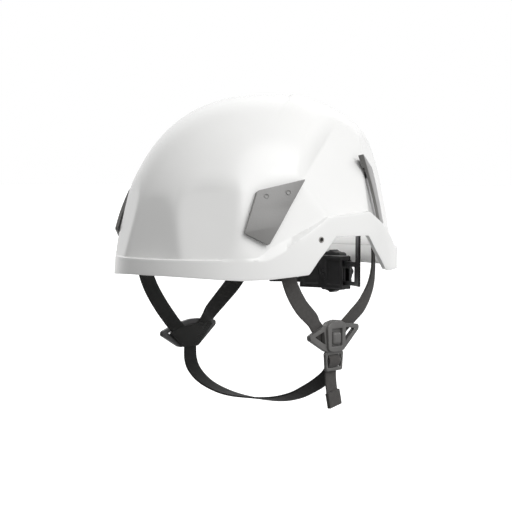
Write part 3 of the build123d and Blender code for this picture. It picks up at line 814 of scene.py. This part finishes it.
def makeRibbon(name, route, widths, width, thickness=1.4, steps=10, columns=6):
    line, ways = curveThrough(route, steps), curveThrough(widths, steps)
    along = np.gradient(line, axis=0)
    along /= np.linalg.norm(along, axis=1)[:, None]
    ways = ways - along * (ways * along).sum(1)[:, None]
    ways /= np.linalg.norm(ways, axis=1)[:, None]
    widthNow = widthAlong(width, len(line), steps)
    lengths = np.concatenate(([0], np.cumsum(np.linalg.norm(np.diff(line, axis=0), axis=1))))
    deselectAll()
    bpy.ops.mesh.primitive_grid_add(x_subdivisions=len(line) - 1, y_subdivisions=columns, size=2)
    piece = bpy.context.object
    piece.name = name
    grid = np.array([vertex.co[:2] for vertex in piece.data.vertices])
    row = np.rint((grid[:, 0] + 1) / 2 * (len(line) - 1)).astype(int)
    across = grid[:, 1] / 2
    places = line[row] + ways[row] * (across * widthNow[row])[:, None]
    uv = piece.data.uv_layers[0]
    for loop in piece.data.loops:
        i = loop.vertex_index
        uv.data[loop.index].uv = (across[i] * widthNow[row[i]] * mm, lengths[row[i]] * mm)
    for vertex, place in zip(piece.data.vertices, places * mm):
        vertex.co = place
    addModifier(piece, "SOLIDIFY", thickness=thickness * mm, offset=0)
    addModifier(piece, "BEVEL", width=0.35 * mm, segments=2, limit_method="ANGLE",
                angle_limit=math.radians(50))
    smooth(piece, 60)
    return piece


def finishRibbon(piece, finish, body, node):
    give(piece, finish, body)
    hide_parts(node)


straps = {     # routes in millimetres, top to bottom, the direction of the width at each point, and the width
    "left_front_strap": (
        [(82.5, -52, 24), (82.5, -51.5, 6), (82.4, -45, -9), (80.6, -31, -24), (78.6, -14, -36),
         (76.4, -6, -43), (75.0, 5, -51)],
        [(0, 1, 0.05), (0, 1, 0.15), (0, 0.93, 0.3), (0, 0.85, 0.5), (0, 0.85, 0.52), (0, 0.85, 0.52),
         (0, 0.85, 0.52)],
        (17, 17, 16.5, 15.5, 14, 13, 13)),
    "left_rear_strap": (
        [(71, 80, 46), (72, 80, 24), (73, 79.5, 4), (75.5, 72, -12), (77.4, 58, -27), (77.4, 45, -36),
         (75.0, 31, -47)],
        [(-0.5, 0.86, 0), (-0.5, 0.86, 0), (-0.45, 0.9, -0.05), (-0.3, 0.9, -0.3), (-0.1, 0.75, -0.65),
         (0, 0.73, -0.68), (0, 0.73, -0.68)],
        (16.5, 16.5, 16, 15, 13.5, 12.5, 12)),
    "right_front_strap": (
        [(-82, -54, 24), (-82, -53.5, 4), (-81.2, -47, -13), (-79.6, -37, -29), (-78, -25, -44),
         (-75.6, -18, -53), (-75.2, -9, -62)],
        [(0, 1, 0), (0, 0.97, 0.15), (0, 0.9, 0.35), (0, 0.87, 0.47), (0, 0.87, 0.49), (0, 0.87, 0.49),
         (0, 0.87, 0.49)],
        (16.5, 16.5, 16.5, 16, 15.5, 15, 15)),
    "right_rear_strap": (
        [(-71, 79, 46), (-72, 78.5, 24), (-73.2, 75, 6), (-76, 61, -14), (-77.4, 44, -29),
         (-77.8, 29, -41), (-75.6, 20, -49), (-75.2, 10, -60)],
        [(0.5, 0.86, 0), (0.45, 0.88, 0), (0.4, 0.9, -0.1), (0.25, 0.8, -0.5), (0.1, 0.7, -0.7),
         (0, 0.63, -0.77), (0, 0.63, -0.77), (0, 0.63, -0.77)],
        (16.5, 16.5, 16.5, 16.5, 16, 15.5, 15, 15)),
}
for name, (route, widths, width) in straps.items():
    words = name.split("_")
    piece = makeRibbon(words[0] + words[1].title() + "Strap", route, widths, width)
    # the right-hand straps, on the far side, get the darker copy of the webbing: painted shade
    finish = finishes["harness_webbing"] if words[0] == "left" else finishes["harness_webbing_far"]
    finishRibbon(piece, finish, "root", name)

lowerWebbing = {
    "chinStrap": {
        "route": [(75.4, 15.6, -70.5), (75.2, 16, -77), (72, 16, -85), (64, 15.8, -93), (53, 15, -100),
                  (36, 14.4, -108), (14, 13.8, -113), (-14, 12, -114), (-38, 8.5, -111.5),
                  (-58, 4.5, -104.5), (-70, 1, -94.5), (-75.2, -0.8, -83), (-75.4, -1.2, -66)],
        "widths": [(0, 1, 0), (0, 1, -0.1), (0, 1, -0.35), (0, 1, -0.5), (0, 1, -0.48), (0, 1, -0.4),
                   (0, 1, -0.3), (0, 1, -0.15), (0, 1, -0.02), (0, 1, 0), (0, 1, 0), (0, 1, 0), (0, 1, 0)],
        "width": (13, 14, 15.5, 16.5, 16.5, 16.5, 16.5, 16.5, 16.5, 16.5, 16.5, 16, 15),
    },
    "strapTail": {
        "route": [(75.9, 14.6, -71.6), (76.6, 14.6, -69.3), (79.4, 14.6, -69.5), (80.6, 14.5, -73),
                  (79.6, 14.5, -77), (76.6, 14.5, -80.5), (76.0, 14.5, -86), (76.2, 14.9, -93),
                  (76.6, 15.9, -101), (77.0, 17, -107)],
        "widths": [(0, 1, 0)] * 10, "width": 14.5, "steps": 8,
    },
    "tailFold": {
        "route": [(77.2, 15.8, -100.3), (77.7, 16.9, -106.5), (78.0, 18.2, -113.5)],
        "widths": [(0, 1, 0.1), (0, 1, 0.1), (0, 1, 0.1)], "width": 16.5, "thickness": 3.4,
    },
}
chin = makeRibbon("chinStrap", **lowerWebbing["chinStrap"])
# the chin strap, under the helmet, gets the darker copy of the webbing: painted shade
coat(chin, finishes["harness_webbing_far"])
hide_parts("chin_strap")
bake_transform(chin)
tail = makeRibbon("strapTail", **lowerWebbing["strapTail"])
finishRibbon(tail, finishes["harness_webbing"], "tongue", "strap_tail")
fold = makeRibbon("tailFold", **lowerWebbing["tailFold"])
finishRibbon(fold, finishes["harness_webbing"], "tongue", "tail_fold")
print("harness webbing made")

cradle = {"foot": 69.0, "crown": 127.0, "step": 2.2, "angles": (30, 90, 150), "width": 18.0, "thickness": 1.4,
          "bandRadius": 86.5, "bandFront": 112.0, "middle": 14.0, "clear": 2.7, "roundness": 2.3, "stops": 8}


def cradleReach(angle):
    if angle > 90:
        return cradle["bandRadius"] + cradle["clear"]
    turn = math.radians(angle)
    sideways, forward = math.sin(turn) / cradle["bandRadius"], math.cos(turn) / cradle["bandFront"]
    return 1 / math.hypot(sideways, forward) + cradle["clear"]


def archSide(reach, crown):     # half an arch, from its foot to the crown, as (distance out, height)
    power = 2 / cradle["roundness"]
    half = []
    for i in range(cradle["stops"] + 1):
        turn = math.pi / 2 * i / cradle["stops"]
        height = cradle["foot"] + (crown - cradle["foot"]) * math.sin(turn) ** power
        half.append((reach * max(math.cos(turn), 0) ** power, height))
    return half


for i, angle in enumerate(cradle["angles"]):
    crown = cradle["crown"] + i * cradle["step"] - cradle["thickness"] / 2
    turn = math.radians(angle)
    near = archSide(cradleReach(angle), crown)
    far = [(-x, z) for x, z in reversed(archSide(cradleReach(180 - angle), crown))][1:]
    route = [(x * math.sin(turn), cradle["middle"] - x * math.cos(turn), z) for x, z in near + far]
    widths = [(math.cos(turn), math.sin(turn), 0)] * len(route)
    piece = makeRibbon("cradleWebbing" + str(i + 1), route, widths, cradle["width"],
                       cradle["thickness"], steps=6)
    finishRibbon(piece, finishes["cradle_webbing"], "root", "cradle_strap_" + str(i + 1))
print("cradle webbing made")


def prism(name, outline, start, depth, rounding, y, z):     # an outline in (y, z), drawn out along x
    bpy.ops.mesh.primitive_circle_add(vertices=len(outline), radius=1, fill_type="NGON")
    piece = bpy.context.object
    piece.name = name
    for vertex, (outlineY, outlineZ) in zip(piece.data.vertices, outline):
        vertex.co = Vector((start, outlineY + y, outlineZ + z)) * mm
    bpy.ops.object.mode_set(mode="EDIT")
    bpy.ops.mesh.select_all(action="SELECT")
    bpy.ops.mesh.bevel(offset=rounding * mm, segments=4, affect="VERTICES")
    bpy.ops.mesh.select_all(action="SELECT")
    bpy.ops.mesh.extrude_region_move(TRANSFORM_OT_translate={"value": (depth * mm, 0, 0)})
    bpy.ops.mesh.select_all(action="SELECT")
    bpy.ops.mesh.normals_make_consistent(inside=False)
    bpy.ops.object.mode_set(mode="OBJECT")
    return piece


holeRound = 0.9


def plateFrom(name, outline, holes, place, thickness, cornerRound, softEdge):
    x, y, z = place
    deselectAll()
    plate = prism(name, outline, x - thickness / 2, thickness, cornerRound, y, z)
    for hole in holes:
        cutter = prism("cutter", hole, x - thickness, thickness * 2, holeRound, y, z)
        addModifier(plate, "BOOLEAN", operation="DIFFERENCE", object=cutter, solver="EXACT")
        bpy.data.objects.remove(cutter)
    addModifier(plate, "BEVEL", width=softEdge * mm, segments=3, limit_method="ANGLE",
                angle_limit=math.radians(40), use_clamp_overlap=True)
    smooth(plate)
    return plate


plateWebbing = {"thickness": 1.6, "cornerRound": 1.2, "softEdge": 0.4}


def makePlateWebbing(name, outline, place, finish):     # the webbing that shows through a plate's holes
    web = plateFrom(name, outline, (), place, **plateWebbing)
    give(web, finishes[finish], "root")


buckle = {
    "place": (78.0, 16.0, -52.0), "thickness": 4.2, "cornerRound": 1.6, "softEdge": 0.7,
    "outline": ((-34, 2), (-13, 9.5), (-8, 12.6), (0, 13.8), (8, 13), (12.5, 10.5), (33, 8), (33.6, 4),
                (13, -12.5), (8, -14.2), (-8, -14.2), (-13, -12.5), (-34, -1.5)),
    "holes": (((-27.5, 0.6), (-15.2, 4.6), (-13.2, -7)), ((15.2, 6.4), (28, 4.6), (13.6, -6.5))),
    "shield": ((-13, 7.6), (-8.5, 12), (0, 13.2), (8.5, 12.2), (12.6, 9), (11.4, -12), (6, -13.8),
               (-6, -13.8), (-11.4, -12)),
    "shieldOut": 0.3, "shieldDepth": 8.4, "shieldRound": 2.0, "shieldEdge": 0.8,
    "pocket": ((-7.2, 6.2), (7.2, 6.2), (7.2, -8.8), (-7.2, -8.8)),
    "web": ((-28, 1.2), (-13, 6.4), (13, 8.0), (28.5, 5.6), (11, -10.5), (-10.5, -10.5)),
    "webPlace": (73.0, 16.0, -52.0),
}
buttonSize = {"out": 2.6, "below": 2.0, "depth": 5.2, "side": 11.2, "round": 2.6, "rim": 0.8, "rise": 0.25}


def makeBuckle():
    x, y, z = buckle["place"]
    plate = plateFrom("bucklePlate", buckle["outline"], buckle["holes"], buckle["place"],
                      buckle["thickness"], buckle["cornerRound"], buckle["softEdge"])
    boss = plateFrom("buckleBoss", buckle["shield"], (buckle["pocket"],), (x + buckle["shieldOut"], y, z),
                     buckle["shieldDepth"], buckle["shieldRound"], buckle["shieldEdge"])
    piece = joined([plate, boss], "buckleBody")
    give(piece, finishes["buckle_plastic"], "root")
    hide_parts("buckle_body")


def makeButton():
    x, y, z = buckle["place"]
    deselectAll()
    bpy.ops.mesh.primitive_cube_add(size=1)
    button = bpy.context.object
    button.name = "buckleButton"
    place = Vector((x + buttonSize["out"], y, z - buttonSize["below"])) * mm
    side = buttonSize["side"] * mm
    shape = Matrix.Diagonal((buttonSize["depth"] * mm, side, side, 1))
    button.data.transform(Matrix.Translation(place) @ shape)
    addModifier(button, "BEVEL", width=buttonSize["round"] * mm, segments=5, limit_method="ANGLE",
                angle_limit=math.radians(40))
    selectFaces(button, lambda face: face.normal.x > 0.95)
    bpy.ops.mesh.inset(thickness=buttonSize["rim"] * mm, depth=buttonSize["rise"] * mm)
    bpy.ops.object.mode_set(mode="OBJECT")
    smooth(button, 45)
    give(button, finishes["buckle_plastic"], "button")
    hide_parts("buckle_button")


makeBuckle()
makeButton()
makePlateWebbing("buckleWebbing", buckle["web"], buckle["webPlace"], "harness_webbing")
refined("buckle_tongue", "buckleTongue", 0.6)
spring = refined("button_spring", "buttonSpring", 0)
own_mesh(spring)

divider = {
    "place": (-78.0, -1.0, -58.0), "thickness": 3.6, "cornerRound": 1.6, "softEdge": 0.7,
    "outline": ((-35, 3), (-14, 9.5), (2, 12), (13, 12), (35, 9), (36, 5), (12, -13), (-13, -13), (-36, -0.5)),
    "holes": (((-28.5, 1.2), (-9, 6), (-9, -6)), ((8, 7.5), (28.5, 5.8), (8, -5)),
              ((-10.5, -7.5), (8.5, -7.5), (8.5, -10.8), (-10.5, -10.8))),
    "web": ((-28, 1.5), (-12, 6.0), (12, 8.4), (29, 6.6), (9, -13.0), (-10.5, -13.0)),
    "webPlace": (-74.6, -1.0, -58.0),
}
dividerPlate = plateFrom("strapDivider", divider["outline"], divider["holes"], divider["place"],
                         divider["thickness"], divider["cornerRound"], divider["softEdge"])
give(dividerPlate, finishes["divider_plastic"], "root")
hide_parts("strap_divider")
# the divider's webbing, on the far side, gets the darker copy of the webbing: painted shade
makePlateWebbing("dividerWebbing", divider["web"], divider["webPlace"], "harness_webbing_far")
print("buckle and divider made")
